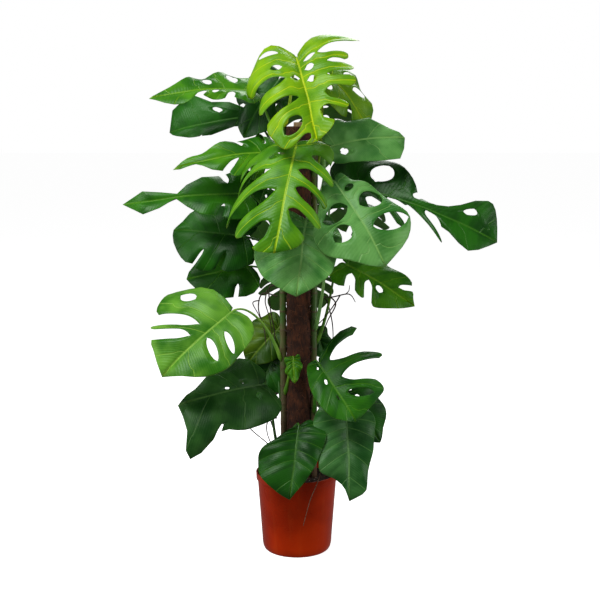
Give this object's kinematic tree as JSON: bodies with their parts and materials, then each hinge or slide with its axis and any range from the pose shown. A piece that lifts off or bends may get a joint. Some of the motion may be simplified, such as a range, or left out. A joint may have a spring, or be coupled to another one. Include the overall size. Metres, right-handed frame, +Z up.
{
  "type": "potted monstera plant",
  "caption": "Climbing monstera with large split leaves on a coir pole, in a tapered plastic nursery pot.",
  "frame": {"origin": "middle of the pot's flat underside, on the floor", "axes": "+Z up the pole, -Y towards the front of the plant"},
  "size_m": [1.055, 0.6911, 1.4745],
  "materials": {
    "pot_plastic": "satin",
    "soil": "rough",
    "pole_wood": "rough",
    "coir": "fibrous",
    "stem": "satin",
    "root": "rough",
    "leaf_young": "glossy",
    "leaf_fresh": "glossy",
    "leaf_mid": "glossy",
    "leaf_dark": "glossy",
    "leaf_olive": "glossy",
    "leaf_grey": "glossy"
  },
  "bodies": {
    "root": {"nursery_pot": "pot_plastic", "potting_soil": "soil", "pole_core": "pole_wood", "coir_sleeve": "coir", "stem_left": "stem", "stem_right": "stem", "stem_back": "stem", "aerial_root_front": "root", "aerial_root_right": "root", "aerial_root_right_long": "root", "aerial_root_left": "root", "aerial_root_left_far": "root", "aerial_root_left_low": "root", "aerial_root_back": "root", "leaf_crown": "leaf_young", "leaf_crown_left": "leaf_dark", "leaf_crown_right": "leaf_young", "leaf_upper_left": "leaf_fresh", "leaf_upper_left_low": "leaf_dark", "leaf_left_high": "leaf_fresh", "leaf_left_tongue": "leaf_mid", "leaf_left_dark": "leaf_dark", "leaf_left_shade": "leaf_mid", "leaf_front": "leaf_young", "leaf_front_plain": "leaf_grey", "leaf_upper_right": "leaf_grey", "leaf_right_long": "leaf_dark", "leaf_right_front": "leaf_grey", "leaf_right_low": "leaf_fresh", "leaf_left_front": "leaf_fresh", "leaf_left_low": "leaf_dark", "leaf_left_inner": "leaf_olive", "leaf_pot_front": "leaf_mid", "leaf_pot_right": "leaf_grey", "leaf_right_fingers": "leaf_mid", "leaf_right_shade": "leaf_dark", "leaf_right_inner": "leaf_dark", "leaf_pole_small": "leaf_fresh", "leaf_left_middle": "leaf_fresh", "leaf_left_centre": "leaf_dark", "leaf_low_inner": "leaf_dark", "leaf_back_high": "leaf_mid", "leaf_back_left": "leaf_mid", "leaf_back_right": "leaf_mid", "leaf_back_middle": "leaf_dark", "leaf_back_low": "leaf_dark", "leaf_back_foot": "leaf_mid"}
  },
  "joints": []
}
